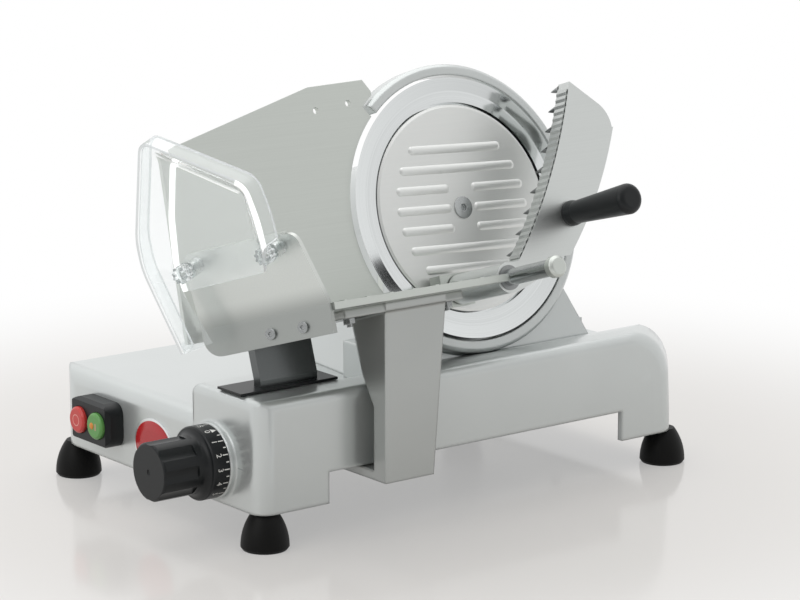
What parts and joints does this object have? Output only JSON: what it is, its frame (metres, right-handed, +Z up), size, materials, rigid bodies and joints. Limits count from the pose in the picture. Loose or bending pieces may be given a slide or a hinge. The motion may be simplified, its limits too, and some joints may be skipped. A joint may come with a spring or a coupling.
{
  "type": "electric food slicer",
  "caption": "Electric gravity-feed food slicer with a tilted round blade in an open ring, a sliding carriage with a spiked pusher, and a gauge plate set by a numbered dial.",
  "frame": {"origin": "under the middle of the whole part's box, on the ground", "axes": "+X along the carriage stroke to the operator's right, +Y to the back, +Z up"},
  "size_m": [0.475, 0.3714, 0.3126],
  "materials": {
    "cast_aluminium": "satin pale grey paint over cast aluminium",
    "satin_aluminium": "satin anodised",
    "blade_steel": "polished stainless steel",
    "bright_steel": "ground and plated",
    "screw_steel": "plain",
    "black_rubber": "matte",
    "black_plastic": "fine grain",
    "clear_plastic": "clear moulded plastic",
    "pale_plastic": "translucent",
    "red_plastic": "gloss",
    "green_plastic": "gloss",
    "bronze": "plain bearing bronze",
    "motor_paint": "satin"
  },
  "bodies": {
    "base": {"base_casting": "cast_aluminium", "bottom_cover": "bright_steel", "bottom_cover_screws": "screw_steel", "foot_front_left": "black_rubber", "foot_front_right": "black_rubber", "foot_rear_left": "black_rubber", "foot_rear_right": "black_rubber", "foot_screws": "screw_steel", "blade_housing": "cast_aluminium", "housing_bolts": "screw_steel", "spindle_plate": "satin_aluminium", "spindle_plate_screws": "screw_steel", "spindle": "bright_steel", "blade_cover": "satin_aluminium", "cover_screw": "bright_steel", "drive_belt": "black_rubber", "motor_body": "motor_paint", "motor_hood": "cast_aluminium", "hood_screws": "screw_steel", "gauge_rods": "bright_steel", "guide_rod": "bright_steel", "second_rail": "bright_steel", "switch_housing": "black_plastic", "control_board": "green_plastic", "cord_gland": "black_rubber"},
    "blade_rotor": {"blade": "blade_steel", "blade_screws": "screw_steel", "blade_hub": "satin_aluminium", "bearing_front": "bright_steel", "bearing_rear": "bright_steel"},
    "motor_shaft": {"motor_rotor": "bright_steel", "motor_pulley": "satin_aluminium"},
    "gauge": {"gauge_plate": "satin_aluminium", "gauge_support": "satin_aluminium", "gauge_screws": "screw_steel", "slot_cover": "black_plastic", "gauge_slider": "satin_aluminium", "cam_pin": "bright_steel"},
    "dial": {"dial_knob": "black_plastic", "dial_shaft": "bright_steel", "gauge_cam": "bronze"},
    "carriage": {"carriage_table": "satin_aluminium", "end_plate": "satin_aluminium", "end_plate_screws": "screw_steel", "hand_guard": "clear_plastic", "guard_spacers": "pale_plastic", "guard_knobs": "pale_plastic", "carriage_arm": "cast_aluminium", "arm_bolts": "screw_steel", "arm_nuts": "screw_steel", "carriage_slider": "satin_aluminium", "slide_bushes": "bronze", "slider_bolts": "screw_steel", "pusher_rod": "bright_steel", "rod_cap": "satin_aluminium"},
    "pusher_carrier": {"pusher_bush": "bronze"},
    "pusher_arm": {"pusher": "cast_aluminium", "pusher_handle": "black_plastic"},
    "stop": {"stop_button": "red_plastic"},
    "start": {"start_button": "green_plastic"}
  },
  "joints": [
    {"name": "blade_spin", "type": "hinge", "parent": "base", "child": "blade_rotor", "pos_m": [0.06024, -0.03981, 0.211], "axis": [0, -0.9511, 0.309], "continuous": true},
    {"name": "motor_spin", "type": "hinge", "parent": "base", "child": "motor_shaft", "pos_m": [0.09624, -0.05372, 0.1682], "axis": [0, -0.9511, 0.309], "continuous": true},
    {"name": "dial_turn", "type": "hinge", "parent": "base", "child": "dial", "pos_m": [-0.16726, -0.04281, 0.057], "axis": [-1, 0, 0], "range_deg": [-67.5, 270]},
    {"name": "gauge_slide", "type": "slide", "parent": "base", "child": "gauge", "axis": [0, 1, 0], "range_m": [-0.00315, 0.01262]},
    {"name": "carriage_slide", "type": "slide", "parent": "base", "child": "carriage", "axis": [1, 0, 0], "range_m": [-0.02, 0.195]},
    {"name": "pusher_slide", "type": "slide", "parent": "carriage", "child": "pusher_carrier", "axis": [0, -0.9511, 0.309], "range_m": [0, 0.047]},
    {"name": "pusher_swing", "type": "hinge", "parent": "pusher_carrier", "child": "pusher_arm", "pos_m": [0.02924, -0.05835, 0.15394], "axis": [0, -0.9511, 0.309], "range_deg": [0, 120]},
    {"name": "stop_press", "type": "slide", "parent": "base", "child": "stop", "axis": [1, 0, 0], "range_m": [0, 0.003], "stiffness_N_per_m": 800},
    {"name": "start_press", "type": "slide", "parent": "base", "child": "start", "axis": [1, 0, 0], "range_m": [0, 0.003], "stiffness_N_per_m": 800}
  ],
  "couplings": [
    {"joint": "motor_spin", "follows": "blade_spin", "ratio": 4.25},
    {"joint": "dial_turn", "follows": "gauge_slide", "rad_per_m": 373.48}
  ]
}
